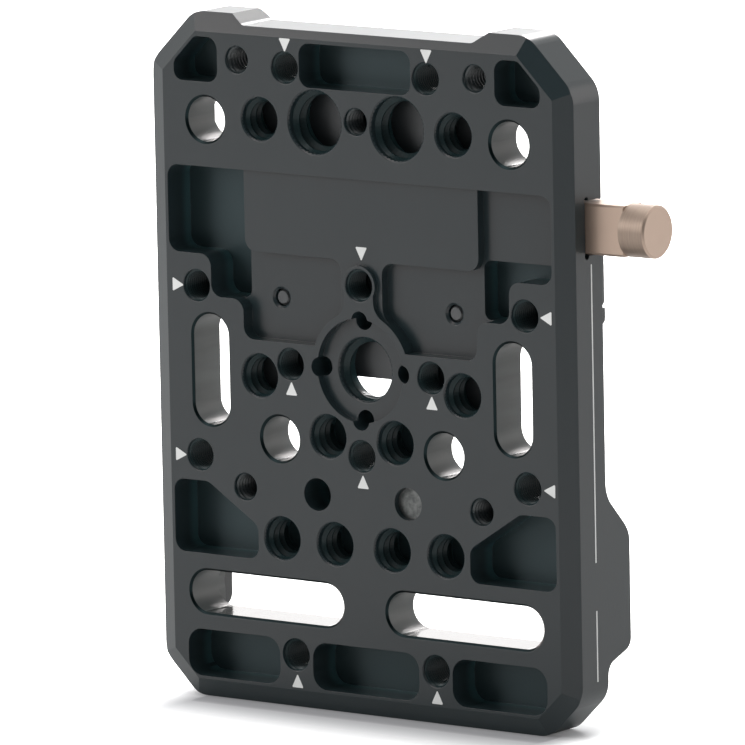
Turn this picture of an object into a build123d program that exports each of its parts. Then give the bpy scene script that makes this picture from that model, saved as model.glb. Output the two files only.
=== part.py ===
"""V-mount battery plate for camera rigs, in millimetres.

The plate stands on its bottom edge. Its drilled front face lies in the plane
Y = 0, the battery side looks along +Y, and +Z is up. The origin is the axis of
the large threaded hole in the middle of the front face, and the release lever
leaves the plate on its +X side.
"""
import os
from math import pi, tan

from build123d import *

# Outline of the machined plate
half_width = 37.9
top_edge = 51.3
bottom_edge = -51.65
top_corner_cut = 7.8
bottom_corner_cut = 5.9
corner_round = 4.5
bevel_width = 2.8
bevel_depth = 1.4
rim_back = 8.3
edge_break = 0.3
web_back = 6.6
rim_width = 6.1
rim_inner_half_width = half_width - rim_width
rim_bottom = -46.5
rim_top = 47.0
notch_half_width = 20.7
notch_slope = 2.4
notch_depth = 1.6
notch_round = 1.6

# V receiver on the battery side
rail_back = 14.2
rail_margin = 3.9
rail_outer = half_width - rail_margin
rail_width = 9.9
rail_top = 19.0
upper_rail_bottom = 7.5
lower_rail_top = -18.0
lower_rail_bottom = -30.5
channel_half_width = rail_outer - rail_width
channel_taper = 0.175
undercut = 1.6
undercut_start = 10.4
lip_start = 12.0
rail_corner_round = 1.0

# Side ears that carry the lower rails
ear_wall = 3.0
ear_ramp_low = -16.4
ear_ramp_high = -22.4
ear_heel_high = -39.7
ear_heel_low = -41.7
ear_rim_round = 5.0
ear_ramp_round = 4.0
ear_heel_round = 2.0

# Threaded holes of a quarter inch
quarter_radius = 3.15
quarter_mouth = 3.4
quarter_rows = [
    (17.49, 36.11),
    (18.36, -2.16),
]
quarter_blind_rows = [
    (6.09, -10.23),
    (14.84, -26.27),
    (5.19, -26.27),
]

# Threaded holes of three eighths of an inch
large_radius = 4.7
large_mouth = 4.95
large_pair_x = 7.42
large_pair_z = 36.3

# Small metric holes
small_radius = 2.0
small_mouth = 2.15
small_pairs = [(21.43, 44.65)]
small_blind_pairs = [(21.42, -19.09)]
small_centre_z = 36.86
blind_depth = 6.0

# Holes of the accessory grid
grid_pitch = 12.7
marked_radius = 2.35
marked_mouth = 2.5
marked_top_z = 44.05
marked_side_x = 29.67
marked_side_high = 10.47
marked_side_low = -14.93
marked_bottom_z = -43.56

# Plain holes, one of them plugged
plug_x = 8.21
plug_z = -19.09
plug_hole_radius = 2.44
plug_fit = 0.02
plug_sink = 1.0

# Clear holes
clear_radius = 3.35
clear_top = (27.4, 35.4)
clear_low = (14.87, -11.35)
clear_edge_break = 0.35

# Slots
side_slot_x = 27.35
side_slot_width = 6.4
side_slot_top = 6.32
side_slot_bottom = -10.32
foot_slot_inner = 4.03
foot_slot_outer = 31.95
foot_slot_width = 6.4
slot_edge_break = 0.33
foot_slot_z = -35.55

# Locating ring round the middle hole
ring_radius = 7.75
ring_depth = 1.25
ring_pin_radius = 1.45
ring_pin_depth = 4.6
ring_pin_circle = 7.4

# Weight pockets in the front face
pocket_upper_depth = 5.2
pocket_lower_depth = 5.6
pocket_round = 1.8
corner_pocket_inner = 25.0
corner_pocket_outer = 33.0
corner_pocket_low = 41.0
corner_pocket_high = 47.7
corner_pocket_diagonal = 76.85
corner_pocket_round = 1.5
head_pocket_half = 10.05
head_pocket_low = 41.35
head_pocket_high = 47.9
wing_outer = 34.6
wing_inner = 19.2
wing_high = -18.85
wing_low = -29.8
wing_corner_x = 28.3
wing_corner_z = -24.8
foot_pocket_inner = 15.65
foot_pocket_outer = 32.6
foot_pocket_high = -41.3
foot_pocket_low = -48.4
foot_pocket_round = 2.5
toe_pocket_half = 9.65

# Stepped pocket above the middle hole
main_top = 28.35
main_step_1 = 15.3
main_step_2 = 9.0
main_step_3 = 3.15
main_half_1 = 34.6
main_shelf_1 = 7.65
main_shelf_2 = 5.85
main_half_2 = main_half_1 - main_shelf_1
main_half_3 = main_half_2 - main_shelf_2
island_depth = 0.75
middle_depth = 2.2
deep_depth = 5.5
island_low = 16.2
shelf_low = 17.8
ridge_half = 3.7
boss_radius = 2.9
neck_taper = 0.4
neck_round = 3.0
ridge_round = 1.8
hub_radius = 8.8
step_round = 1.9
step_fine_round = 1.2

# Cover plate and its seat on the battery side
cover_seat = 5.2
cover_thickness = 1.2
cover_half_width = 20.6
cover_top = 41.15
cover_bottom = -1.85
cover_leg_inner = 13.8
cover_leg_outer = 21.7
cover_leg_top = 1.6
cover_leg_bottom = -6.4
cover_shoulder = 1.8
cover_gap = 0.15
cover_round = 1.5
seat_bottom = -6.9

# Release lever
lever_z = 23.35
lever_front = 3.95
bar_height = 7.45
bar_thickness = 5.0
bar_reach = 6.6
bar_end = half_width + bar_reach
bar_edge = 0.35
knob_diameter = 7.8
knob_length = 4.45
knob_edge = 0.3
lever_gap = 0.3
lever_side_gap = 0.1
relief_radius = 0.55
bar_step = 30.0
neck_start = cover_half_width + 0.4
tongue_front = 2.45
tongue_back = 5.05
tongue_left = -12.0
tongue_right = 15.3
tongue_height = 6.6
shank_back = 6.45
channel_floor = 2.35

# Return spring and its post
spring_wire = 0.45
spring_diameter = 2.45
spring_turns = 9
window_left = -9.0
window_height = 3.0
post_x = 9.2
post_radius = 1.0
post_sink = 0.9

# Catch on the lever
catch_outer = rail_outer
catch_root = catch_outer - 4.1
catch_tip = catch_outer - 7.8
catch_tip_round = 0.4
catch_back = 12.2
catch_half_height = 3.2
catch_nose_low = 20.35
catch_nose_high = 22.2
catch_screw_radius = 0.8
catch_screw_head = 1.45
catch_screw_length = 6.0
catch_screw_z = 1.75
catch_screw_x = catch_outer - 2.0

# Keeper over the lever's slot
keeper_low = 10.2
keeper_top = 26.4
keeper_outer = rail_outer - 0.1
keeper_inner = keeper_outer - 4.5
keeper_thickness = 1.4
keeper_gap = 0.1
keeper_screw_z = [12.8, 16.9]
keeper_screw_x = keeper_outer - 2.3

# Small countersunk screws of the cover and the keeper
screw_radius = 1.25
screw_head_radius = 2.1
screw_land = 0.1
screw_point = 0.35
screw_length = 3.9
keeper_screw_length = 4.6
screw_socket = 0.55
screw_socket_depth = 0.6
screw_clearance = 0.08
cover_screws = [
    (-15.65, 9.4),
    (15.65, 9.4),
    (-15.65, 31.6),
    (15.65, 31.6),
    (0, 31.6),
]
tip_hole_radius = 1.66

# Reach within which a corner counts as the one at a given place
match_gap = 0.01


def at_depth(depth):
    """Plane parallel to the front face, its local x and y along X and Z."""
    return Plane.XZ.offset(-depth)


def both_sides(points):
    """Places each point and its mirror image across the plate's middle."""
    return [(side * x, z) for x, z in points for side in (-1, 1)]


def outline(inset):
    """Corners of the plate's eight-sided outline, moved inwards by inset."""
    corner_shift = inset * tan(pi / 8)
    side = half_width - inset
    high = top_edge - inset
    low = bottom_edge + inset
    top_x = half_width - top_corner_cut - corner_shift
    top_z = top_edge - top_corner_cut - corner_shift
    low_x = half_width - bottom_corner_cut - corner_shift
    low_z = bottom_edge + bottom_corner_cut + corner_shift
    right = [(low_x, low), (side, low_z), (side, top_z), (top_x, high)]
    left = [(-x, z) for x, z in reversed(right)]
    return right + left


def channel_half(z, extra=0.0):
    """Half width of the V channel between the rails' lips at a height."""
    return channel_half_width + channel_taper * z + extra


def channel_points(extra):
    """The V channel seen from the battery side, wider by extra."""
    top_half = channel_half(rail_top + edge_break, extra)
    low_half = channel_half(lower_rail_bottom - edge_break, extra)
    high = rail_top + edge_break
    low = lower_rail_bottom - edge_break
    return [(-low_half, low), (low_half, low), (top_half, high), (-top_half, high)]


bar_back = lever_front + bar_thickness
bar_low = lever_z - bar_height / 2
bar_high = lever_z + bar_height / 2
slot_low = bar_low - lever_gap
slot_high = bar_high + lever_gap
cover_back = cover_seat + cover_thickness
keeper_seat = rail_back - keeper_thickness
knob_middle = lever_front + bar_thickness / 2
spring_axis = (tongue_front + tongue_back) / 2
main_points = [
    (main_half_1, main_top),
    (main_half_1, main_step_1),
    (main_half_2, main_step_1),
    (main_half_2, main_step_2),
    (main_half_3, main_step_2),
    (main_half_3, main_step_3),
]
main_outline = main_points + [(-x, z) for x, z in reversed(main_points)]
marked_holes = [
    (-grid_pitch, marked_top_z),
    (grid_pitch, marked_top_z),
    (-grid_pitch, 0),
    (grid_pitch, 0),
    (0, grid_pitch),
    (0, -grid_pitch),
    (-grid_pitch, marked_bottom_z),
    (grid_pitch, marked_bottom_z),
    (-marked_side_x, marked_side_low),
    (marked_side_x, marked_side_low),
]

# Machined plate with the V receiver on its battery side
with BuildPart() as base_plate:
    # Bevelled slab, sharp at its inner contour and rounded at the outer one
    with BuildSketch(at_depth(0)):
        Polygon(*outline(bevel_width), align=None)
    with BuildSketch(at_depth(bevel_depth)):
        Polygon(*outline(0), align=None)
    loft()
    with BuildSketch(at_depth(bevel_depth)):
        Polygon(*outline(0), align=None)
    extrude(amount=-(rim_back - bevel_depth))
    with BuildSketch(at_depth(0)) as rounded_outline:
        Polygon(*outline(0), align=None)
        fillet(rounded_outline.vertices(), radius=corner_round)
    extrude(amount=-rim_back, mode=Mode.INTERSECT)

    # Ears at both sides, with a long ramp above and a short heel below
    for side in (-1, 1):
        with BuildSketch(Plane.YZ.offset(side * half_width)) as ear:
            Polygon(
                (web_back, ear_ramp_low + ear_rim_round),
                (rim_back, ear_ramp_low + ear_rim_round),
                (rim_back, ear_ramp_low),
                (rail_back, ear_ramp_high),
                (rail_back, ear_heel_high),
                (rim_back, ear_heel_low),
                (rim_back, ear_heel_low - ear_heel_round),
                (web_back, ear_heel_low - ear_heel_round),
                align=None,
            )
            for z, radius in (
                (ear_ramp_low, ear_rim_round),
                (ear_ramp_high, ear_ramp_round),
                (ear_heel_high, ear_heel_round),
                (ear_heel_low, ear_heel_round),
            ):
                bend = ear.vertices().filter_by(lambda vertex: abs(vertex.Y - z) < match_gap)
                fillet(bend, radius=radius)
        extrude(amount=-side * ear_wall)
    outer_back = [
        edge
        for edge in base_plate.edges()
        if edge.center().Y > rim_back - edge_break / 2
        and (
            abs(edge.center().X) > half_width - edge_break / 2
            or edge.center().Z > top_edge - top_corner_cut
            or edge.center().Z < bottom_edge + bottom_corner_cut
        )
    ]
    chamfer(outer_back, length=edge_break)

    # Shallow notch in the top edge, through the thickness
    with BuildSketch(at_depth(0)) as notch:
        Polygon(
            (-notch_half_width, top_edge - notch_depth),
            (notch_half_width, top_edge - notch_depth),
            (notch_half_width + 2 * notch_slope, top_edge + notch_depth),
            (-notch_half_width - 2 * notch_slope, top_edge + notch_depth),
            align=None,
        )
        fillet(notch.vertices().group_by(Axis.Y)[0], radius=notch_round)
    extrude(amount=-rim_back, mode=Mode.SUBTRACT)

    # Shallow recess that leaves the thin web inside the rim
    with BuildSketch(at_depth(web_back)) as web_recess:
        Polygon(
            (-rim_inner_half_width, rim_top),
            (-rim_inner_half_width, rim_bottom),
            (rim_inner_half_width, rim_bottom),
            (rim_inner_half_width, rim_top),
            align=None,
        )
        fillet(web_recess.vertices(), radius=foot_pocket_round)
    extrude(amount=-(rim_back - web_back), mode=Mode.SUBTRACT)

    # Rail blocks, an upper pair and a lower pair that joins the ears
    for side in (-1, 1):
        with BuildSketch(at_depth(web_back)) as upper_rail:
            Polygon(
                (side * channel_half(upper_rail_bottom), upper_rail_bottom),
                (side * rail_outer, upper_rail_bottom),
                (side * rail_outer, rail_top),
                (side * channel_half(rail_top), rail_top),
                align=None,
            )
            fillet(upper_rail.vertices(), radius=rail_corner_round)
        extrude(amount=-(rail_back - web_back))
        with BuildSketch(at_depth(web_back)) as lower_rail:
            Polygon(
                (side * channel_half(lower_rail_top), lower_rail_top),
                (side * rim_inner_half_width, lower_rail_top),
                (side * (half_width - ear_wall / 2), ear_ramp_high),
                (side * (half_width - ear_wall / 2), lower_rail_bottom),
                (side * channel_half(lower_rail_bottom), lower_rail_bottom),
                align=None,
            )
            inner_corners = lower_rail.vertices().filter_by(
                lambda vertex: abs(vertex.X) < rim_inner_half_width - rail_corner_round
            )
            fillet(inner_corners, radius=rail_corner_round)
        extrude(amount=-(rail_back - web_back))

    # Undercut that holds the wedge behind the rails' lips
    with BuildSketch(at_depth(web_back)):
        Polygon(*channel_points(undercut), align=None)
    extrude(amount=-(undercut_start - web_back), mode=Mode.SUBTRACT)
    with BuildSketch(at_depth(undercut_start)):
        Polygon(*channel_points(undercut), align=None)
    with BuildSketch(at_depth(lip_start)):
        Polygon(*channel_points(0), align=None)
    loft(mode=Mode.SUBTRACT)

    # Island over the lever's channel, and the raised boss with its neck
    with BuildSketch(mode=Mode.PRIVATE) as boss_outline:
        Circle(hub_radius)
        Polygon(
            (-boss_radius, 0),
            (boss_radius, 0),
            (boss_radius - neck_taper, grid_pitch),
            (-boss_radius + neck_taper, grid_pitch),
            align=None,
        )
        neck_roots = boss_outline.vertices().filter_by(
            lambda vertex: hub_radius / 2 < vertex.Y < grid_pitch - boss_radius
        )
        fillet(neck_roots, radius=neck_round)
        with Locations((0, grid_pitch)):
            Circle(boss_radius)
    with BuildSketch(mode=Mode.PRIVATE) as island_outline:
        Polygon(
            (-main_half_3, main_top + step_round),
            (-main_half_3, island_low),
            (main_half_3, island_low),
            (main_half_3, main_top + step_round),
            align=None,
        )
        island_corners = island_outline.vertices().group_by(Axis.Y)[0]
        fillet(island_corners, radius=step_round)
        Polygon(
            (-ridge_half, main_top),
            (-ridge_half, 0),
            (ridge_half, 0),
            (ridge_half, main_top),
            align=None,
        )
        Circle(hub_radius)
        ridge_tops = island_outline.vertices().filter_by(
            lambda vertex: abs(vertex.Y - island_low) < match_gap
            and abs(vertex.X) < ridge_half + match_gap
        )
        fillet(ridge_tops, radius=ridge_round)
        ridge_roots = island_outline.vertices().filter_by(
            lambda vertex: hub_radius / 2 < vertex.Y < hub_radius
            and abs(vertex.X) < ridge_half + match_gap
        )
        fillet(ridge_roots, radius=neck_round)
    with BuildSketch(at_depth(0)) as main_pocket:
        Polygon(*main_outline, align=None)
        fillet(main_pocket.vertices(), radius=step_round)
        add(boss_outline.sketch_local, mode=Mode.SUBTRACT)
    extrude(amount=-island_depth, mode=Mode.SUBTRACT)
    with BuildSketch(at_depth(island_depth)) as middle_floor:
        add(main_pocket.sketch_local)
        add(island_outline.sketch_local, mode=Mode.SUBTRACT)
    extrude(amount=-(middle_depth - island_depth), mode=Mode.SUBTRACT)
    with BuildSketch(at_depth(middle_depth)) as deep_floor:
        with BuildSketch(mode=Mode.PRIVATE) as deep_areas:
            Polygon(
                (-half_width, top_edge),
                (-half_width, main_step_2),
                (-main_half_3, main_step_2),
                (-main_half_3, top_edge),
                align=None,
            )
            Polygon(
                (main_half_3, shelf_low),
                (main_half_3, main_step_2),
                (half_width, main_step_2),
                (half_width, shelf_low),
                align=None,
            )
            wall_corners = deep_areas.vertices().filter_by(
                lambda vertex: abs(vertex.X) < main_half_2 and vertex.Y < main_top
            )
            fillet(wall_corners, radius=step_fine_round)
        add(main_pocket.sketch_local)
        add(deep_areas.sketch_local, mode=Mode.INTERSECT)
    extrude(amount=-(deep_depth - middle_depth), mode=Mode.SUBTRACT)

    # Weight pockets at the four corners, the head and the foot
    with BuildSketch(at_depth(0)) as upper_pockets:
        for side in (-1, 1):
            Polygon(
                (side * corner_pocket_inner, corner_pocket_low),
                (side * corner_pocket_outer, corner_pocket_low),
                (side * corner_pocket_outer, corner_pocket_diagonal - corner_pocket_outer),
                (side * (corner_pocket_diagonal - corner_pocket_high), corner_pocket_high),
                (side * corner_pocket_inner, corner_pocket_high),
                align=None,
            )
        Polygon(
            (-head_pocket_half, head_pocket_low),
            (head_pocket_half, head_pocket_low),
            (head_pocket_half, head_pocket_high),
            (-head_pocket_half, head_pocket_high),
            align=None,
        )
        keen = upper_pockets.vertices().filter_by(
            lambda vertex: abs(vertex.X) > corner_pocket_inner + match_gap
        )
        fillet(keen, radius=corner_pocket_round)
        blunt = upper_pockets.vertices().filter_by(
            lambda vertex: abs(vertex.X) < corner_pocket_inner + match_gap
            and (abs(vertex.Y - corner_pocket_low) < match_gap
                 or abs(vertex.Y - corner_pocket_high) < match_gap
                 or abs(vertex.X) < corner_pocket_inner - match_gap)
        )
        fillet(blunt, radius=pocket_round)
    extrude(amount=-pocket_upper_depth, mode=Mode.SUBTRACT)
    with BuildSketch(at_depth(0)) as lower_pockets:
        for side in (-1, 1):
            Polygon(
                (side * wing_outer, wing_high),
                (side * wing_outer, wing_low),
                (side * wing_inner, wing_low),
                (side * wing_inner, wing_corner_z),
                (side * wing_corner_x, wing_high),
                align=None,
            )
        fillet(lower_pockets.vertices(), radius=pocket_round)
    extrude(amount=-pocket_lower_depth, mode=Mode.SUBTRACT)
    with BuildSketch(at_depth(0)) as foot_pockets:
        for side in (-1, 1):
            Polygon(
                (side * foot_pocket_outer, foot_pocket_high),
                (side * foot_pocket_outer, foot_pocket_low),
                (side * foot_pocket_inner, foot_pocket_low),
                (side * foot_pocket_inner, foot_pocket_high),
                align=None,
            )
        Polygon(
            (-toe_pocket_half, foot_pocket_high),
            (toe_pocket_half, foot_pocket_high),
            (toe_pocket_half, foot_pocket_low),
            (-toe_pocket_half, foot_pocket_low),
            align=None,
        )
        fillet(foot_pockets.vertices(), radius=foot_pocket_round)
    extrude(amount=-pocket_lower_depth, mode=Mode.SUBTRACT)

    # Slots through the web
    with BuildSketch(at_depth(0)):
        with Locations(*both_sides([(side_slot_x, (side_slot_top + side_slot_bottom) / 2)])):
            SlotOverall(side_slot_top - side_slot_bottom, side_slot_width, rotation=90)
        with Locations(*both_sides([((foot_slot_inner + foot_slot_outer) / 2, foot_slot_z)])):
            SlotOverall(foot_slot_outer - foot_slot_inner, foot_slot_width)
    extrude(amount=-rim_back, mode=Mode.SUBTRACT)
    slot_mouths = base_plate.edges(Select.LAST).filter_by_position(Axis.Y, -match_gap, match_gap)
    chamfer(slot_mouths, length=slot_edge_break)

    # Locating ring with its four pin holes
    with BuildSketch(at_depth(0)):
        Circle(ring_radius)
    extrude(amount=-ring_depth, mode=Mode.SUBTRACT)
    with BuildSketch(at_depth(0)):
        with PolarLocations(ring_pin_circle, 4):
            Circle(ring_pin_radius)
    extrude(amount=-ring_pin_depth, mode=Mode.SUBTRACT)

    # Drilled holes of the front face
    with Locations(at_depth(0)):
        with Locations(*both_sides(quarter_rows)):
            CounterSinkHole(quarter_radius, quarter_mouth, depth=rim_back, counter_sink_angle=90)
        with Locations(*both_sides(quarter_blind_rows)):
            CounterSinkHole(
                quarter_radius,
                quarter_mouth,
                depth=blind_depth,
                counter_sink_angle=90,
            )
        with Locations(*both_sides([(large_pair_x, large_pair_z)])):
            CounterSinkHole(large_radius, large_mouth, depth=rim_back, counter_sink_angle=90)
        with Locations((0, small_centre_z), *both_sides(small_pairs)):
            CounterSinkHole(small_radius, small_mouth, depth=rim_back, counter_sink_angle=90)
        with Locations(*both_sides(small_blind_pairs)):
            CounterSinkHole(small_radius, small_mouth, depth=blind_depth, counter_sink_angle=90)
        with Locations(*marked_holes):
            CounterSinkHole(marked_radius, marked_mouth, depth=rim_back, counter_sink_angle=90)
        with Locations(*both_sides([(marked_side_x, marked_side_high)])):
            CounterSinkHole(marked_radius, marked_mouth, depth=blind_depth, counter_sink_angle=90)
        with Locations((plug_x, plug_z)):
            Hole(plug_hole_radius, depth=rim_back)
        with Locations((-plug_x, plug_z)):
            Hole(plug_hole_radius, depth=blind_depth)
        with Locations(*both_sides([clear_top, clear_low])):
            CounterSinkHole(
                clear_radius,
                clear_radius + clear_edge_break,
                depth=rim_back,
                counter_sink_angle=90,
            )
    with Locations(at_depth(ring_depth)):
        CounterSinkHole(large_radius, large_mouth, depth=rim_back, counter_sink_angle=90)

    # Seat of the cover plate
    with BuildSketch(at_depth(cover_seat)) as seat:
        Polygon(
            (-cover_half_width - cover_gap, cover_leg_top + cover_shoulder),
            (-cover_leg_outer - cover_gap, cover_leg_top),
            (-cover_leg_outer - cover_gap, seat_bottom),
            (cover_leg_outer + cover_gap, seat_bottom),
            (cover_leg_outer + cover_gap, cover_leg_top),
            (cover_half_width + cover_gap, cover_leg_top + cover_shoulder),
            (cover_half_width + cover_gap, cover_top + cover_gap),
            (-cover_half_width - cover_gap, cover_top + cover_gap),
            align=None,
        )
        fillet(seat.vertices(), radius=cover_round + cover_gap)
    extrude(amount=-(web_back - cover_seat), mode=Mode.SUBTRACT)

    # Threaded holes of the cover, the two lower ones open to the front pocket
    with Locations(at_depth(middle_depth)):
        with Locations(*cover_screws[:2]):
            CounterSinkHole(
                screw_radius + screw_clearance,
                tip_hole_radius,
                depth=cover_seat - middle_depth,
                counter_sink_angle=90,
            )
    with BuildSketch(at_depth(cover_back - screw_length - screw_clearance)):
        with Locations(*cover_screws[2:]):
            Circle(screw_radius + screw_clearance)
    extrude(amount=-screw_length, mode=Mode.SUBTRACT)

    # Channel of the tongue and the hole of the spring's post
    with BuildSketch(at_depth(channel_floor)) as tongue_channel:
        Polygon(
            (tongue_left - lever_gap, lever_z - tongue_height / 2 - lever_gap),
            (neck_start, lever_z - tongue_height / 2 - lever_gap),
            (neck_start, lever_z + tongue_height / 2 + lever_gap),
            (tongue_left - lever_gap, lever_z + tongue_height / 2 + lever_gap),
            align=None,
        )
    extrude(amount=-(web_back - channel_floor), mode=Mode.SUBTRACT)
    with BuildSketch(at_depth(channel_floor - post_sink)):
        with Locations((post_x, lever_z)):
            Circle(post_radius + plug_fit)
    extrude(amount=-post_sink, mode=Mode.SUBTRACT)

    # Channel of the bar, through the upper rail and the side wall
    with BuildSketch(at_depth(lever_front - lever_side_gap)):
        Polygon(
            (neck_start - lever_gap, slot_low),
            (bar_end, slot_low),
            (bar_end, slot_high),
            (neck_start - lever_gap, slot_high),
            align=None,
        )
    extrude(amount=-rail_back, mode=Mode.SUBTRACT)
    with BuildSketch(Plane.YZ.offset(half_width)):
        with Locations(*[(lever_front + relief_radius / 2, z) for z in (slot_low, slot_high)]):
            Circle(relief_radius)
    extrude(amount=-(half_width - rim_inner_half_width), mode=Mode.SUBTRACT)

    # Rebate of the keeper and its two threaded holes
    with BuildSketch(at_depth(keeper_seat)):
        Polygon(
            (keeper_inner - keeper_gap, keeper_low - keeper_gap),
            (half_width, keeper_low - keeper_gap),
            (half_width, lever_z),
            (keeper_inner - keeper_gap, lever_z),
            align=None,
        )
    extrude(amount=-(rail_back - keeper_seat), mode=Mode.SUBTRACT)
    with BuildSketch(at_depth(rail_back - keeper_screw_length - screw_clearance)):
        with Locations(*[(keeper_screw_x, z) for z in keeper_screw_z]):
            Circle(screw_radius + screw_clearance)
    extrude(amount=-keeper_screw_length, mode=Mode.SUBTRACT)

base_plate.part.label = "base_plate"

# Release lever, a flat bar with a turned knob and a thin sprung tongue
with BuildPart() as release_lever:
    with BuildSketch(Plane.YZ.offset(bar_step)) as bar_section:
        with Locations((knob_middle, lever_z)):
            Rectangle(bar_thickness, bar_height)
        chamfer(bar_section.vertices(), length=bar_edge)
    extrude(amount=bar_end - bar_step)
    with BuildSketch(Plane.YZ.offset(bar_end)):
        with Locations((knob_middle, lever_z)):
            Circle(knob_diameter / 2)
    extrude(amount=knob_length)
    knob_rims = release_lever.edges().filter_by(GeomType.CIRCLE).sort_by(Axis.X)
    chamfer(knob_rims[-1], length=knob_edge)
    with BuildSketch(at_depth(lever_front)):
        Polygon(
            (neck_start, bar_low),
            (bar_step, bar_low),
            (bar_step, bar_high),
            (neck_start, bar_high),
            align=None,
        )
    extrude(amount=-(shank_back - lever_front))
    with BuildSketch(at_depth(lever_front)):
        with Locations(((tongue_right + neck_start) / 2, lever_z)):
            Rectangle(neck_start - tongue_right, tongue_height)
    extrude(amount=-(tongue_back - lever_front))
    with BuildSketch(at_depth(tongue_front)):
        with Locations(((tongue_left + tongue_right) / 2, lever_z)):
            Rectangle(tongue_right - tongue_left, tongue_height)
    extrude(amount=-(tongue_back - tongue_front))
    window_right = post_x + post_radius + lever_side_gap
    with BuildSketch(at_depth(tongue_front)):
        with Locations(((window_left + window_right) / 2, lever_z)):
            Rectangle(window_right - window_left, window_height)
    extrude(amount=-(tongue_back - tongue_front), mode=Mode.SUBTRACT)
    with BuildSketch(at_depth(catch_back - catch_screw_length)):
        with Locations(*[(catch_screw_x, lever_z + s * catch_screw_z) for s in (-1, 1)]):
            Circle(catch_screw_radius + screw_clearance)
    extrude(amount=-catch_screw_length, mode=Mode.SUBTRACT)
release_lever.part.label = "release_lever"

# Steel catch with a sloped nose, screwed to the lever's bar
with BuildPart() as latch_catch:
    with BuildSketch(at_depth(bar_back)) as catch_outline:
        Polygon(
            (catch_tip, catch_nose_low),
            (catch_outer, catch_nose_low),
            (catch_outer, lever_z + catch_half_height),
            (catch_root, lever_z + catch_half_height),
            (catch_tip, catch_nose_high),
            align=None,
        )
        tip_corners = catch_outline.vertices().sort_by(Axis.X)[:2]
        fillet(tip_corners, radius=catch_tip_round)
    extrude(amount=-(catch_back - bar_back))
    with Locations(Plane.XZ.offset(-catch_back).rotated((180, 0, 0))):
        with Locations(*[(catch_screw_x, -lever_z + s * catch_screw_z) for s in (-1, 1)]):
            CounterSinkHole(
                catch_screw_radius + screw_clearance,
                catch_screw_head + screw_land + screw_clearance,
                counter_sink_angle=90,
            )
latch_catch.part.label = "latch_catch"

# Return spring, closed between the window's end and the post
with BuildPart() as latch_spring:
    spring_start = window_left + spring_wire / 2 + plug_fit
    spring_end = post_x - post_radius - spring_wire / 2 - plug_fit
    spring_length = spring_end - spring_start
    coil_radius = (spring_diameter - spring_wire) / 2
    with BuildLine() as coil:
        Helix(
            pitch=spring_length / spring_turns,
            height=spring_length,
            radius=coil_radius,
            center=(spring_start, spring_axis, lever_z),
            direction=(1, 0, 0),
        )
    with BuildSketch(Plane(origin=coil.line @ 0, z_dir=coil.line % 0)):
        Circle(spring_wire / 2)
    sweep()
latch_spring.part.label = "latch_spring"

# Post that takes the spring's thrust and stops the lever
with BuildPart() as spring_post:
    with BuildSketch(at_depth(channel_floor - post_sink)):
        with Locations((post_x, lever_z)):
            Circle(post_radius)
    extrude(amount=-(cover_seat - channel_floor + post_sink - plug_fit))
spring_post.part.label = "spring_post"

# Sheet cover over the channel
with BuildPart() as mechanism_cover:
    with BuildSketch(at_depth(cover_seat)) as cover_outline:
        Polygon(
            (-cover_half_width, cover_leg_top + cover_shoulder),
            (-cover_leg_outer, cover_leg_top),
            (-cover_leg_outer, cover_leg_bottom),
            (-cover_leg_inner, cover_leg_bottom),
            (-cover_leg_inner, cover_bottom),
            (cover_leg_inner, cover_bottom),
            (cover_leg_inner, cover_leg_bottom),
            (cover_leg_outer, cover_leg_bottom),
            (cover_leg_outer, cover_leg_top),
            (cover_half_width, cover_leg_top + cover_shoulder),
            (cover_half_width, cover_top),
            (-cover_half_width, cover_top),
            align=None,
        )
        fillet(cover_outline.vertices(), radius=cover_round)
    extrude(amount=-cover_thickness)
    with Locations(Plane.XZ.offset(-cover_back).rotated((180, 0, 0))):
        with Locations(*[(x, -z) for x, z in cover_screws]):
            CounterSinkHole(
                screw_radius + screw_clearance,
                screw_head_radius + screw_land + screw_clearance,
                counter_sink_angle=90,
            )
mechanism_cover.part.label = "mechanism_cover"

# Keeper that closes the lever's slot in the upper rail
with BuildPart() as lever_keeper:
    with BuildSketch(at_depth(keeper_seat)) as keeper_outline:
        Polygon(
            (keeper_inner, keeper_low),
            (keeper_outer, keeper_low),
            (keeper_outer, keeper_top),
            (keeper_inner, keeper_top),
            align=None,
        )
        fillet(keeper_outline.vertices(), radius=rail_corner_round)
    extrude(amount=-keeper_thickness)
    with Locations(Plane.XZ.offset(-rail_back).rotated((180, 0, 0))):
        with Locations(*[(keeper_screw_x, -z) for z in keeper_screw_z]):
            CounterSinkHole(
                screw_radius + screw_clearance,
                screw_head_radius + screw_land + screw_clearance,
                counter_sink_angle=90,
            )
lever_keeper.part.label = "lever_keeper"

# Plug pressed into the right-hand plain hole
with BuildPart() as steel_plug:
    with BuildSketch(at_depth(plug_sink)):
        with Locations((plug_x, plug_z)):
            Circle(plug_hole_radius - plug_fit)
    extrude(amount=-(web_back - plug_sink))
steel_plug.part.label = "steel_plug"


def countersunk_screw(label, x, z, back, shank, head, length):
    """Countersunk hex-socket screw, its head flush with the plane Y = back."""
    with BuildPart() as screw:
        with BuildSketch(Plane.XY):
            Polygon(
                (0, 0),
                (head, 0),
                (head, -screw_land),
                (shank, -screw_land - (head - shank)),
                (shank, -length + screw_point),
                (shank - screw_point, -length),
                (0, -length),
                align=None,
            )
        revolve(axis=Axis.Y)
        with BuildSketch(Plane.XZ) as socket:
            RegularPolygon(screw_socket * head / screw_head_radius, 6)
        extrude(amount=screw_socket_depth * head / screw_head_radius, mode=Mode.SUBTRACT)
    placed = Location((x, back, z)) * screw.part
    placed.label = label
    return placed


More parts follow.
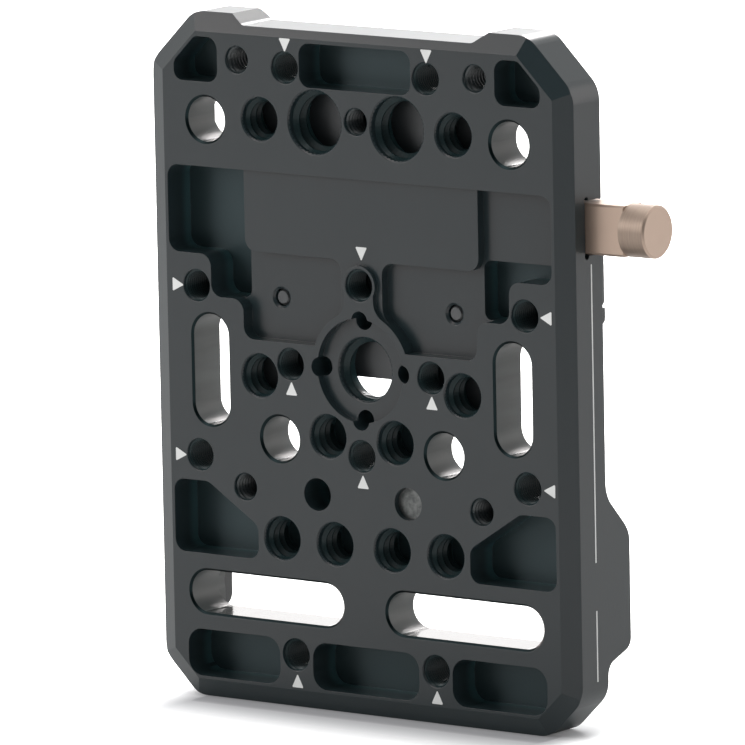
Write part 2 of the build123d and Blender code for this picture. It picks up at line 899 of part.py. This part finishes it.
screws = []
for number, (x, z) in enumerate(cover_screws, start=1):
    label = f"cover_screw_{number}"
    screws.append(
        countersunk_screw(label, x, z, cover_back, screw_radius, screw_head_radius, screw_length)
    )
for number, z in enumerate(keeper_screw_z, start=1):
    label = f"keeper_screw_{number}"
    screws.append(
        countersunk_screw(
            label,
            keeper_screw_x,
            z,
            rail_back,
            screw_radius,
            screw_head_radius,
            keeper_screw_length,
        )
    )
for number, side in enumerate((-1, 1), start=1):
    label = f"catch_screw_{number}"
    screws.append(
        countersunk_screw(
            label,
            catch_screw_x,
            lever_z + side * catch_screw_z,
            catch_back,
            catch_screw_radius,
            catch_screw_head,
            catch_screw_length,
        )
    )

pieces = [
    base_plate.part,
    release_lever.part,
    latch_catch.part,
    latch_spring.part,
    spring_post.part,
    mechanism_cover.part,
    lever_keeper.part,
    steel_plug.part,
] + screws
os.makedirs("parts", exist_ok=True)
for piece in pieces:
    export_step(piece, f"parts/{piece.label}.step")
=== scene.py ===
from math import cos, pi, radians, sin

import bmesh
import bpy
from mathutils import Matrix, Vector


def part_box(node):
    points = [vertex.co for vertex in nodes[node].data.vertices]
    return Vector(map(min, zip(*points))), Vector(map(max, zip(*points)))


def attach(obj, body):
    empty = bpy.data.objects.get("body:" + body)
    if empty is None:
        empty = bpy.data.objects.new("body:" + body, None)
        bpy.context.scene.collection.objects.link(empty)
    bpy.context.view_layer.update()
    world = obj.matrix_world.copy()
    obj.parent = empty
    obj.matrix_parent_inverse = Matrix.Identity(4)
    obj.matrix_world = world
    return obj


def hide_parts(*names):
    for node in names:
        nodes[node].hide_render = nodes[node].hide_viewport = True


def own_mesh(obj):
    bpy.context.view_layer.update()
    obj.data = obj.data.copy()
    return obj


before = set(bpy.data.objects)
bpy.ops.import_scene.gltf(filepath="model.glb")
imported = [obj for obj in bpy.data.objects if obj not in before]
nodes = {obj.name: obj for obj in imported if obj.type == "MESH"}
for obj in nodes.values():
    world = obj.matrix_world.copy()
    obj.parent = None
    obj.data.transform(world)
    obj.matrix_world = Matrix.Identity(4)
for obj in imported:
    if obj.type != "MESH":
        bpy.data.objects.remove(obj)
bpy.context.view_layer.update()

scene = bpy.context.scene

# Camera. A long lens to the right of the plate's front and a little above it,
# turned by about one degree, as the photograph was taken.
camera_azimuth = radians(36.10)
camera_elevation = radians(9.435)
camera_roll = radians(1.119)
camera_place = (0.91538, -1.25224, 0.25753)
lens_length = 518.6
sensor_width = 36.0
forward = Vector((
    -sin(camera_azimuth) * cos(camera_elevation),
    cos(camera_azimuth) * cos(camera_elevation),
    -sin(camera_elevation),
))
level_right = Vector((cos(camera_azimuth), sin(camera_azimuth), 0))
level_up = level_right.cross(forward)
right = level_right * cos(camera_roll) - level_up * sin(camera_roll)
up = level_up * cos(camera_roll) + level_right * sin(camera_roll)
camera_data = bpy.data.cameras.new("product_camera")
camera_data.lens = lens_length
camera_data.sensor_width = sensor_width
camera_data.clip_end = 20.0
camera = bpy.data.objects.new("product_camera", camera_data)
turn = Matrix((right, up, -forward)).transposed()
camera.matrix_world = Matrix.Translation(camera_place) @ turn.to_4x4()
scene.collection.objects.link(camera)
scene.camera = camera
scene.view_settings.view_transform = "Standard"

# White surround. Plain white for the eye and for the satin faces, except for a
# dark card beside the lens that the right-hand bevels mirror. The card fades
# from its core to its rim, which are cosines of the angle from its middle.
card_middle = Vector((0.42, -0.90, -0.10)).normalized()
card_rim = 0.20
card_core = 0.62
fill_strength = 0.72


def fill_inputs(tree, step, values):
    """Gives each input of a node its value, which is a socket or a constant."""
    for socket, value in zip(step.inputs, values):
        if isinstance(value, bpy.types.NodeSocket):
            tree.links.new(value, socket)
        else:
            socket.default_value = value


def math_node(tree, operation, *values):
    """One arithmetic step; each value is a socket or a number."""
    step = tree.nodes.new("ShaderNodeMath")
    step.operation = operation
    fill_inputs(tree, step, values)
    return step.outputs[0]


def vector_node(tree, operation, *values):
    """One step of vector arithmetic; each value is a socket or three numbers."""
    step = tree.nodes.new("ShaderNodeVectorMath")
    step.operation = operation
    fill_inputs(tree, step, values)
    return step.outputs["Value" if operation in ("DOT_PRODUCT", "LENGTH") else "Vector"]


def two_tones(tree, source, low, low_colour, high, high_colour):
    """Ramp along a socket's number, from one colour at low to another at high."""
    ramp = tree.nodes.new("ShaderNodeValToRGB")
    low_stop, high_stop = ramp.color_ramp.elements
    low_stop.position = low
    low_stop.color = (*low_colour, 1)
    high_stop.position = high
    high_stop.color = (*high_colour, 1)
    tree.links.new(source, ramp.inputs["Fac"])
    return ramp


def shader_mix(tree, share, first, second):
    """Turns from the first shader to the second as the share goes from 0 to 1."""
    mix = tree.nodes.new("ShaderNodeMixShader")
    fill_inputs(tree, mix, (share, first.outputs[0], second.outputs[0]))
    return mix


world = bpy.data.worlds.new("studio")
scene.world = world
world.use_nodes = True
tree = world.node_tree
tree.nodes.clear()
rays = tree.nodes.new("ShaderNodeLightPath")
seen = math_node(
    tree, "MAXIMUM", rays.outputs["Is Camera Ray"], rays.outputs["Is Transmission Ray"]
)
sky = tree.nodes.new("ShaderNodeTexCoord")
near_card = vector_node(tree, "DOT_PRODUCT", sky.outputs["Generated"], card_middle)
card = two_tones(tree, near_card, card_rim, (1, 1, 1), card_core, (0.02, 0.03, 0.035))
card.color_ramp.interpolation = "EASE"
soft_fill = tree.nodes.new("ShaderNodeBackground")
soft_fill.inputs["Strength"].default_value = fill_strength
white_with_card = tree.nodes.new("ShaderNodeBackground")
tree.links.new(card.outputs["Color"], white_with_card.inputs["Color"])
white_back = tree.nodes.new("ShaderNodeBackground")
white_back.inputs["Color"].default_value = (1, 1, 1, 1)
unseen = shader_mix(tree, rays.outputs["Is Glossy Ray"], soft_fill, white_with_card)
surround = shader_mix(tree, seen, unseen, white_back)
world_out = tree.nodes.new("ShaderNodeOutputWorld")
tree.links.new(surround.outputs[0], world_out.inputs["Surface"])

# Table. White board under the plate's bottom edge, which glows a little for the
# eye so that it meets the background without a line. Around the plate's foot it
# is greyer, because the plate keeps the soft light off it there.
table_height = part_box("base_plate")[0][2]
table_reach = 3.0
glow_share = 0.10

# The foot counts as higher than anything here, so only distance along the board
# matters.
foot_middle = (0.0015, 0.0, 0.0)
foot_half_size = (0.031, 0.001, 1.0)
contact_narrowing = (2.4, 1.0, 1.0)
contact_fade = 60.0
contact_grey = (0.17, 0.17, 0.18)
seen_white = (1.8, 1.8, 1.8)
unseen_white = (0.40, 0.40, 0.40)


def colour_mix(tree, share, first, second):
    """Colour between two, at a share from 0 to 1; each is a socket or a colour."""
    mix = tree.nodes.new("ShaderNodeMix")
    mix.data_type = "RGBA"
    tree.links.new(share, mix.inputs["Factor"])
    for socket, value in zip(mix.inputs[6:8], (first, second)):
        if isinstance(value, bpy.types.NodeSocket):
            tree.links.new(value, socket)
        else:
            socket.default_value = (*value, 1)
    return mix.outputs[2]


table_mesh = bpy.data.meshes.new("white_table")
table_mesh.from_pydata(
    [
        (-table_reach, -table_reach, table_height),
        (table_reach, -table_reach, table_height),
        (table_reach, table_reach, table_height),
        (-table_reach, table_reach, table_height),
    ],
    [],
    [(0, 1, 2, 3)],
)
table = bpy.data.objects.new("white_table", table_mesh)
scene.collection.objects.link(table)
board = bpy.data.materials.new("white_board")
board.use_nodes = True
tree = board.node_tree
tree.nodes.clear()
rays = tree.nodes.new("ShaderNodeLightPath")
position = tree.nodes.new("ShaderNodeTexCoord")
past_foot = vector_node(tree, "SUBTRACT", position.outputs["Object"], foot_middle)
past_foot = vector_node(tree, "ABSOLUTE", past_foot)
past_foot = vector_node(tree, "SUBTRACT", past_foot, foot_half_size)
past_foot = vector_node(tree, "MAXIMUM", past_foot, (0.0, 0.0, 0.0))
past_foot = vector_node(tree, "MULTIPLY", past_foot, contact_narrowing)
distance = vector_node(tree, "LENGTH", past_foot)
faded = math_node(tree, "MULTIPLY", distance, contact_fade)
contact = two_tones(tree, faded, 0.15, contact_grey, 0.95, (1, 1, 1))
contact.color_ramp.interpolation = "B_SPLINE"
shaded = contact.outputs["Color"]
unseen_board = vector_node(tree, "MULTIPLY_ADD", shaded, unseen_white, unseen_white)
seen_board = vector_node(tree, "MULTIPLY", shaded, seen_white)
brightness = colour_mix(tree, rays.outputs["Is Camera Ray"], unseen_board, seen_board)
lit = tree.nodes.new("ShaderNodeBsdfDiffuse")
tree.links.new(brightness, lit.inputs["Color"])
glow = tree.nodes.new("ShaderNodeEmission")
glow.inputs["Strength"].default_value = 1.0
share = math_node(tree, "MULTIPLY", rays.outputs["Is Camera Ray"], glow_share)
board_mix = shader_mix(tree, share, lit, glow)
board_out = tree.nodes.new("ShaderNodeOutputMaterial")
tree.links.new(board_mix.outputs[0], board_out.inputs["Surface"])
table_mesh.materials.append(board)


# Lamps. A broad softbox above and one from the left in front. Behind the plate
# stand a large panel for the right wall and the walls of the holes, and smaller
# ones whose mirror images lie on the top edge and the left-hand corner.
def softbox(name, place, size, watts):
    """Square lamp that looks at the middle of the plate."""
    light = bpy.data.lights.new(name, "AREA")
    light.shape = "SQUARE"
    light.size = size
    light.energy = watts
    lamp = bpy.data.objects.new(name, light)
    lamp.location = place
    lamp.rotation_euler = (-Vector(place)).to_track_quat("-Z", "Y").to_euler()
    scene.collection.objects.link(lamp)


softbox("top_softbox", (-0.15, 0.15, 0.95), size=0.9, watts=7.0)
softbox("left_softbox", (-0.50, -0.46, 0.26), size=0.35, watts=2.0)
softbox("back_panel", (0.75, 0.98, 0.12), size=1.1, watts=3.6)
softbox("edge_panel", (-0.64, 0.86, 0.20), size=0.45, watts=1.0)
softbox("high_back_panel", (-0.30, 0.72, 0.54), size=0.26, watts=3.2)
softbox("corner_panel", (-0.85, 0.27, 0.20), size=0.30, watts=1.2)

# Base plate. Aluminium milled from one billet, bead blasted and anodised with
# black dye. The walls of its open slots and holes keep the smooth cut of the
# milling cutter, and the deep pockets get a paler blue-green painted shade
# that stands in for the tone of their shadows.
drift_scale = 70.0
gloss_drift = 0.03
bump_depth = 0.0001


def satin(
    name, dark, pale, rough, metallic=0.0, ior=1.5, grain=2600.0, relief=0.06, edge=0.00010,
    tint=(1, 1, 1),
):
    """Satin metal or coat: drifting shade and gloss, fine blasted grain, softened edges."""
    material = bpy.data.materials.new(name)
    material.use_nodes = True
    tree = material.node_tree
    shader = tree.nodes["Principled BSDF"]
    shader.inputs["Metallic"].default_value = metallic
    shader.inputs["IOR"].default_value = ior
    shader.inputs["Specular Tint"].default_value = (*tint, 1)
    place = tree.nodes.new("ShaderNodeTexCoord")
    drift = tree.nodes.new("ShaderNodeTexNoise")
    drift.inputs["Scale"].default_value = drift_scale
    drift.inputs["Detail"].default_value = 3.0
    tree.links.new(place.outputs["Object"], drift.inputs["Vector"])
    shade = two_tones(tree, drift.outputs["Fac"], 0.3, dark, 0.7, pale)
    shade.name = "shade"
    tree.links.new(shade.outputs["Color"], shader.inputs["Base Color"])
    gloss = tree.nodes.new("ShaderNodeMapRange")
    gloss.name = "gloss"
    gloss.inputs["To Min"].default_value = rough - gloss_drift
    gloss.inputs["To Max"].default_value = rough + gloss_drift
    tree.links.new(drift.outputs["Fac"], gloss.inputs["Value"])
    tree.links.new(gloss.outputs["Result"], shader.inputs["Roughness"])
    blast = tree.nodes.new("ShaderNodeTexNoise")
    blast.name = "blast"
    blast.inputs["Scale"].default_value = grain
    blast.inputs["Detail"].default_value = 2.0
    tree.links.new(place.outputs["Object"], blast.inputs["Vector"])
    rounded = tree.nodes.new("ShaderNodeBevel")
    rounded.samples = 4
    rounded.inputs["Radius"].default_value = edge
    bump = tree.nodes.new("ShaderNodeBump")
    bump.name = "bump"
    bump.inputs["Strength"].default_value = relief
    bump.inputs["Distance"].default_value = bump_depth
    tree.links.new(blast.outputs["Fac"], bump.inputs["Height"])
    tree.links.new(rounded.outputs["Normal"], bump.inputs["Normal"])
    tree.links.new(bump.outputs["Normal"], shader.inputs["Normal"])
    return material


def dress(node, material):
    """Puts one material in every slot of a node."""
    for slot in nodes[node].material_slots:
        slot.material = material


def place_and_facing(tree):
    """Place of a point and the way it faces, each as its three numbers."""
    parts = []
    for kind, output in (("ShaderNodeTexCoord", "Object"), ("ShaderNodeNewGeometry", "Normal")):
        source = tree.nodes.new(kind)
        split = tree.nodes.new("ShaderNodeSeparateXYZ")
        tree.links.new(source.outputs[output], split.inputs[0])
        parts.append(split.outputs)
    return parts


def drawn_out(tree, scales):
    """Noise with a scale of its own along each axis, drawn out where that is small."""
    place = tree.nodes.new("ShaderNodeTexCoord")
    noise = tree.nodes.new("ShaderNodeTexNoise")
    noise.inputs["Scale"].default_value = 1.0
    noise.inputs["Detail"].default_value = 2.0
    tree.links.new(
        vector_node(tree, "MULTIPLY", place.outputs["Object"], scales), noise.inputs["Vector"]
    )
    return noise.outputs["Fac"]


def eased(tree, value, low, high, at_low, at_high):
    """Goes smoothly from at_low to at_high while the value goes from low to high."""
    step = tree.nodes.new("ShaderNodeMapRange")
    step.interpolation_type = "SMOOTHSTEP"
    step.inputs["From Min"].default_value = low
    step.inputs["From Max"].default_value = high
    step.inputs["To Min"].default_value = at_low
    step.inputs["To Max"].default_value = at_high
    tree.links.new(value, step.inputs["Value"])
    return step.outputs["Result"]


black_anodised = satin(
    "black_anodised",
    (0.0155, 0.0265, 0.0300),
    (0.0175, 0.0285, 0.0320),
    0.30,
    ior=1.485,
    tint=(1.0, 0.86, 0.83),
)
tree = black_anodised.node_tree
shader = tree.nodes["Principled BSDF"]
place, faces = place_and_facing(tree)
across = math_node(tree, "ABSOLUTE", place["X"])

# Open cuts of the right half, in metres: the two ends of each one's middle line,
# and a radius that takes in its broken edge. The left half mirrors them.
open_cuts = [
    ((0.02740, 0.03540), (0.02740, 0.03540), 0.0038),
    ((0.01487, -0.01135), (0.01487, -0.01135), 0.0038),
    ((0.02735, -0.00712), (0.02735, 0.00312), 0.0047),
    ((0.00723, -0.03555), (0.02875, -0.03555), 0.0042),
]
cut_zone = 0.0
for (low_x, low_z), (high_x, high_z), radius in open_cuts:
    near_x = math_node(tree, "MINIMUM", math_node(tree, "MAXIMUM", across, low_x), high_x)
    near_z = math_node(tree, "MINIMUM", math_node(tree, "MAXIMUM", place["Z"], low_z), high_z)
    off_x = math_node(tree, "SUBTRACT", across, near_x)
    off_z = math_node(tree, "SUBTRACT", place["Z"], near_z)
    squares = math_node(
        tree,
        "ADD",
        math_node(tree, "MULTIPLY", off_x, off_x),
        math_node(tree, "MULTIPLY", off_z, off_z),
    )
    inside = math_node(tree, "LESS_THAN", squares, radius * radius)
    cut_zone = math_node(tree, "MAXIMUM", cut_zone, inside)

# How far a face looks to the front or back tells a wall, a broken edge and a
# floor apart.
wall_limit = 0.5
broken_edge_limit = 0.9
frontward = math_node(tree, "ABSOLUTE", faces["Y"])
sideways = math_node(tree, "LESS_THAN", frontward, wall_limit)
slanted = math_node(
    tree, "SUBTRACT", math_node(tree, "LESS_THAN", frontward, broken_edge_limit), sideways
)
cut_wall = math_node(tree, "MULTIPLY", cut_zone, sideways)
edge_break = math_node(tree, "MULTIPLY", cut_zone, slanted)

# Pocket floors and walls, between the depth where a pocket starts and the depth
# of the deepest floor, and within the bevels and the cut corners of the plate.
pocket_from = 0.0030
pocket_full = 0.0050
pocket_end = 0.0063
pocket_half_width = 0.0365
pocket_half_height = 0.0495
pocket_corner = 0.0795
sunk = eased(tree, place["Y"], pocket_from, pocket_full, 0.0, 1.0)
front_facing = math_node(tree, "LESS_THAN", faces["Y"], -wall_limit)
milled_floor = math_node(tree, "MULTIPLY", sunk, front_facing)
from_middle = math_node(tree, "ABSOLUTE", place["Z"])
in_pocket = sunk
for value, limit in (
    (across, pocket_half_width),
    (from_middle, pocket_half_height),
    (math_node(tree, "ADD", across, from_middle), pocket_corner),
    (faces["Y"], wall_limit),
    (place["Y"], pocket_end),
):
    within = math_node(tree, "LESS_THAN", value, limit)
    in_pocket = math_node(tree, "MULTIPLY", in_pocket, within)

# Colour. Blue-green painted shade in the pockets, weakest on their floors, for
# the tone of their shadows; a paler streaked cut on the walls of the open slots
# and holes, and a dark line at their rims.
floor_painted_shade_loss = 0.75
painted_shade_share = math_node(
    tree, "SUBTRACT", 1.0, math_node(tree, "MULTIPLY", front_facing, floor_painted_shade_loss)
)
# Painted shade: the pockets turn towards a paler blue-green, less on their floors.
with_painted_shade = colour_mix(
    tree,
    math_node(tree, "MULTIPLY", in_pocket, painted_shade_share),
    tree.nodes["shade"].outputs["Color"],
    (0.036, 0.080, 0.088),
)
streaks = drawn_out(tree, (420.0, 60.0, 420.0))
cut_shade = two_tones(tree, streaks, 0.3, (0.058, 0.070, 0.070), 0.7, (0.082, 0.097, 0.096))
with_walls = colour_mix(tree, cut_wall, with_painted_shade, cut_shade.outputs["Color"])
with_rims = colour_mix(tree, edge_break, with_walls, (0.010, 0.020, 0.022))
tree.links.new(with_rims, shader.inputs["Base Color"])

# Gloss. The upward walls of the cuts mirror most sharply, and the milled floors
# are a little duller and more metallic than the blasted faces.
upward_from = 0.94
upward_full = 0.998
wall_dullness = 0.12
upward_dullness = -0.17
floor_dullness = 0.08
upward = eased(
    tree, faces["Z"], upward_from, upward_full, wall_dullness, upward_dullness
)
roughness = math_node(
    tree,
    "ADD",
    tree.nodes["gloss"].outputs["Result"],
    math_node(tree, "MULTIPLY", cut_wall, upward),
)
roughness = math_node(
    tree, "ADD", roughness, math_node(tree, "MULTIPLY", milled_floor, floor_dullness)
)
tree.links.new(roughness, shader.inputs["Roughness"])
metal_share = 0.0
for zone, share in ((cut_wall, 0.1), (milled_floor, 0.45), (edge_break, 0.85)):
    metal_share = math_node(
        tree, "ADD", metal_share, math_node(tree, "MULTIPLY", zone, share)
    )
tree.links.new(metal_share, shader.inputs["Metallic"])
dress("base_plate", black_anodised)

# Threads. Cut with a tap into the plain bores: 1/4-20 for camera screws, 3/8-16
# for the three large ones, and fine metric threads in the small and marked holes.
# The mouths are dull, and the small threads carry painted light: a brighter
# colour for the light that reaches into those holes.
thread_steps = 40
mouth_steps = 120
run_in_steps = 24
run_out_steps = 10
half_ridge = 0.48
ridge_foot = 0.46
ridge_top = 0.07
mouth_inset = 0.01
mouth_lip = 0.002
smallest_edge = 0.000001
open_end = 6.6
blind_end = 6.0
seat_end = 5.2


def around(x, z, radius, turned, depth):
    """Point in the bore at (x, z), from millimetres to metres."""
    return ((x + radius * cos(turned)) / 1000, depth / 1000, (z + radius * sin(turned)) / 1000)


def skin_between(shape, rings):
    """Faces between each ring of corners and the next one."""
    for ring, following in zip(rings, rings[1:]):
        for low, high, high_next, low_next in zip(ring, ring[1:], following[1:], following):
            shape.faces.new((low, high, high_next, low_next))


def on_plate(name, shape, material):
    """Makes a piece of a finished shape, in one material, that rides on the plate."""
    mesh = bpy.data.meshes.new(name)
    shape.to_mesh(mesh)
    shape.free()
    piece = bpy.data.objects.new(name, mesh)
    scene.collection.objects.link(piece)
    mesh.materials.append(material)
    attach(piece, "plate")
    return piece


def tapped_piece(name, shape, material):
    """Finishes a piece that sits in the plate's tapped bores."""
    bmesh.ops.dissolve_degenerate(shape, dist=smallest_edge, edges=shape.edges)
    bmesh.ops.triangulate(shape, faces=shape.faces)
    piece = on_plate(name, shape, material)


def thread(name, places, bore, crest, pitch, mouth, skin):
    """Right-handed V ridges from the countersunk mouth of each bore to its end."""
    shape = bmesh.new()
    for x, z, floor, end in places:
        start = floor + mouth
        steps = int((end - start - 2 * half_ridge * pitch) / pitch * thread_steps)
        rings = []
        for step in range(steps + 1):
            turned = -2 * pi * step / thread_steps
            grown = min(1.0, step / run_in_steps, (steps - step) / run_out_steps)
            inner = bore + (crest - bore) * grown
            middle = start + half_ridge * pitch + pitch * step / thread_steps
            rings.append([
                shape.verts.new(around(x, z, radius, turned, middle + off * pitch))
                for radius, off in (
                    (bore, -ridge_foot),
                    (inner, -ridge_top),
                    (inner, ridge_top),
                    (bore, ridge_foot),
                )
            ])
        skin_between(shape, rings)
    tapped_piece(name + "_threads", shape, skin)
    shape = bmesh.new()
    for x, z, floor, _end in places:
        rings = []
        for step in range(mouth_steps + 1):
            turned = 2 * pi * step / mouth_steps
            rings.append([
                shape.verts.new(around(x, z, radius, turned, depth))
                for radius, depth in (
                    (bore + mouth - mouth_inset, floor + mouth_lip),
                    (bore - 2 * mouth_inset, floor + mouth - mouth_inset),
                )
            ])
        skin_between(shape, rings)
    tapped_piece(name + "_mouths", shape, mouth_black)


def mirrored(places):
    """The places and their mirror images across the middle of the plate."""
    return [(side * x, z, floor, end) for x, z, floor, end in places for side in (-1, 1)]


tapped_black = satin(
    "tapped_black", (0.011, 0.024, 0.026), (0.015, 0.028, 0.030), 0.28, ior=1.31, grain=1500.0
)
# Painted light: the small threads are coloured brighter than the other threads.
painted_light_black = satin(
    "painted_light_black", (0.018, 0.026, 0.028), (0.028, 0.036, 0.038), 0.34, ior=1.62, grain=1500.0
)
mouth_black = satin(
    "mouth_black", (0.005, 0.012, 0.014), (0.008, 0.016, 0.018), 0.55, ior=1.12, grain=1500.0
)
thread(
    "quarter_inch",
    mirrored([
        (17.49, 36.11, 0.0, seat_end),
        (18.36, -2.16, 0.0, seat_end),
        (6.09, -10.23, 0.0, blind_end),
        (14.84, -26.27, 0.0, blind_end),
        (5.19, -26.27, 0.0, blind_end),
    ]),
    bore=3.17, crest=2.56, pitch=1.27, mouth=0.25, skin=tapped_black,
)
thread(
    "three_eighths",
    mirrored([(7.42, 36.30, 0.0, seat_end)]) + [(0.0, 0.0, 1.25, seat_end)],
    bore=4.72, crest=3.90, pitch=1.5875, mouth=0.25, skin=tapped_black,
)
thread(
    "small",
    mirrored([
        (21.43, 44.65, 0.0, open_end),
        (21.42, -19.09, 0.0, blind_end),
    ]) + [(0.0, 36.86, 0.0, seat_end)],
    bore=2.02, crest=1.70, pitch=0.70, mouth=0.15, skin=painted_light_black,
)
thread(
    "marked_hole",
    mirrored([
        (12.70, 44.05, 0.0, open_end),
        (12.70, 0.0, 0.0, seat_end),
        (29.67, 10.47, 0.0, blind_end),
        (29.67, -14.93, 0.0, open_end),
        (12.67, -43.56, 0.0, open_end),
    ]) + [(0.0, 12.70, 0.0, seat_end), (0.0, -12.70, 0.0, open_end)],
    bore=2.37, crest=2.05, pitch=0.50, mouth=0.15, skin=tapped_black,
)

# White print. Small triangles that point at the holes of the half-inch grid and
# a thin line down the right-hand wall, screen printed on the anodised skin.
mark_base = 2.1
mark_height = 2.06
mark_round = 0.12
print_thickness = 0.02
marks = [
    (-12.57, 47.36, 0.0, 180),
    (12.92, 47.30, 0.0, 180),
    (-33.05, 10.35, 0.0, -90),
    (-33.15, -15.20, 0.0, -90),
    (33.40, 10.47, 0.0, 90),
    (33.55, -14.90, 0.0, 90),
    (0.05, 17.25, 0.75, 180),
    (-12.56, -3.60, 0.0, 0),
    (12.85, -3.64, 0.0, 0),
    (0.15, -16.45, 0.0, 0),
    (-12.55, -47.45, 0.0, 0),
    (12.85, -47.40, 0.0, 0),
]
line_depth = 5.25
line_width = 0.26
line_spans = ((-25.9, 18.0), (-43.5, -33.0))
wall_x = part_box("base_plate")[1][0] * 1000
white_ink = satin(
    "white_ink", (0.60, 0.61, 0.60), (0.70, 0.70, 0.69), 0.50,
    grain=5200.0, relief=0.12, edge=0.00002,
)


def printed(name, corners, skin, round_by):
    """Thin print with rounded corners; skin maps a corner and a height to the object."""
    shape = bmesh.new()
    shape.faces.new([shape.verts.new(skin(u, v, 0.0)) for u, v in corners])
    if round_by:
        bmesh.ops.bevel(
            shape,
            geom=list(shape.verts),
            offset=round_by / 1000,
            segments=3,
            affect="VERTICES",
        )
    lifted = Vector(skin(0, 0, print_thickness)) - Vector(skin(0, 0, 0.0))
    top = bmesh.ops.extrude_face_region(shape, geom=list(shape.faces))
    for item in top["geom"]:
        if isinstance(item, bmesh.types.BMVert):
            item.co += lifted
    bmesh.ops.recalc_face_normals(shape, faces=shape.faces)
    on_plate(name, shape, white_ink)


def front_skin(x, z, depth, spin):
    """Skin of the drilled face around the mark at (x, z), which is turned by spin."""

    def point(u, v, height):
        return (
            (x + u * cos(spin) - v * sin(spin)) / 1000,
            (depth - height) / 1000,
            (z + u * sin(spin) + v * cos(spin)) / 1000,
        )

    return point


def wall_skin(u, v, height):
    """Skin of the right-hand side wall, along the thin line."""
    return ((wall_x + height) / 1000, (line_depth + u) / 1000, v / 1000)


triangle = [
    (-mark_base / 2, -mark_height / 2),
    (mark_base / 2, -mark_height / 2),
    (0, mark_height / 2),
]
for number, (x, z, depth, angle) in enumerate(marks, start=1):
    skin = front_skin(x, z, depth, radians(angle))
    printed(f"white_mark_{number}", triangle, skin, mark_round)
for number, (low, high) in enumerate(line_spans, start=1):
    strip = [
        (-line_width / 2, low),
        (line_width / 2, low),
        (line_width / 2, high),
        (-line_width / 2, high),
    ]
    printed(f"white_line_{number}", strip, wall_skin, 0.0)

# Release lever. Flat aluminium bar with a turned knob at its end, blasted and
# anodised bronze; the knob keeps faint rings from the lathe.
knob_length = 0.0045
ring_relief = 0.6
bronze_anodised = satin(
    "bronze_anodised", (0.405, 0.303, 0.243), (0.45, 0.343, 0.277), 0.46,
    metallic=0.85, grain=3000.0,
)
tree = bronze_anodised.node_tree
place, faces = place_and_facing(tree)
rings = drawn_out(tree, (9000.0, 260.0, 260.0))
knob_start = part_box("release_lever")[1][0] - knob_length
on_knob = math_node(tree, "GREATER_THAN", place["X"], knob_start)
ring_height = math_node(tree, "MULTIPLY", rings, on_knob)
ring_height = math_node(tree, "MULTIPLY", ring_height, ring_relief)
height = math_node(tree, "ADD", ring_height, tree.nodes["blast"].outputs["Fac"])
tree.links.new(height, tree.nodes["bump"].inputs["Height"])
turned_side = math_node(
    tree, "LESS_THAN", math_node(tree, "ABSOLUTE", faces["X"]), wall_limit
)
turned_side = math_node(tree, "MULTIPLY", turned_side, on_knob)
ring_tone = two_tones(tree, rings, 0.3, (0.262, 0.198, 0.157), 0.7, (0.31, 0.243, 0.197))
with_knob = colour_mix(
    tree, turned_side, tree.nodes["shade"].outputs["Color"], ring_tone.outputs["Color"]
)
tree.links.new(with_knob, tree.nodes["Principled BSDF"].inputs["Base Color"])
dress("release_lever", bronze_anodised)

# Catch, spring and post. Ground and drawn steel, left bright. The spring is
# wound from wire; the real one shortens towards its post as the lever slides
# out, but here its coil is a still copy that rides on the plate.
ground_steel = satin(
    "ground_steel", (0.42, 0.42, 0.42), (0.52, 0.52, 0.51), 0.30, metallic=1.0, grain=1800.0
)
for name in ("latch_catch", "latch_spring", "spring_post"):
    dress(name, ground_steel)
spring_coil = bpy.data.objects.new("return_spring_coil", nodes["latch_spring"].data.copy())
spring_coil.matrix_world = nodes["latch_spring"].matrix_world.copy()
scene.collection.objects.link(spring_coil)
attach(spring_coil, "plate")
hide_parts("latch_spring")
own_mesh(spring_coil)

# Plug. Soft steel pressed into the right-hand plain hole, with its face left as
# the saw and the press made it, rough and blotched.
plug_steel = satin(
    "plug_steel", (0.09, 0.094, 0.094), (0.17, 0.174, 0.17), 0.50,
    metallic=0.9, grain=1500.0, relief=0.5,
)
tree = plug_steel.node_tree
tree.links.new(tree.nodes["blast"].outputs["Fac"], tree.nodes["shade"].inputs["Fac"])
dress("steel_plug", plug_steel)

# Cover and keeper. Aluminium sheet, cut, blasted and anodised black, let in and
# held down by countersunk screws.
cover_black = satin("cover_black", (0.010, 0.013, 0.015), (0.013, 0.016, 0.018), 0.36, ior=1.62)
for name in ("mechanism_cover", "lever_keeper"):
    dress(name, cover_black)

# Screws. Hardened steel with a thin black oxide, worn to grey where they were
# turned, so the two tips that show in the front pocket are grey discs.
screw_steel = satin(
    "screw_steel", (0.07, 0.072, 0.075), (0.12, 0.12, 0.12), 0.38, metallic=0.8, grain=2200.0
)
for name in nodes:
    if "screw" in name:
        dress(name, screw_steel)
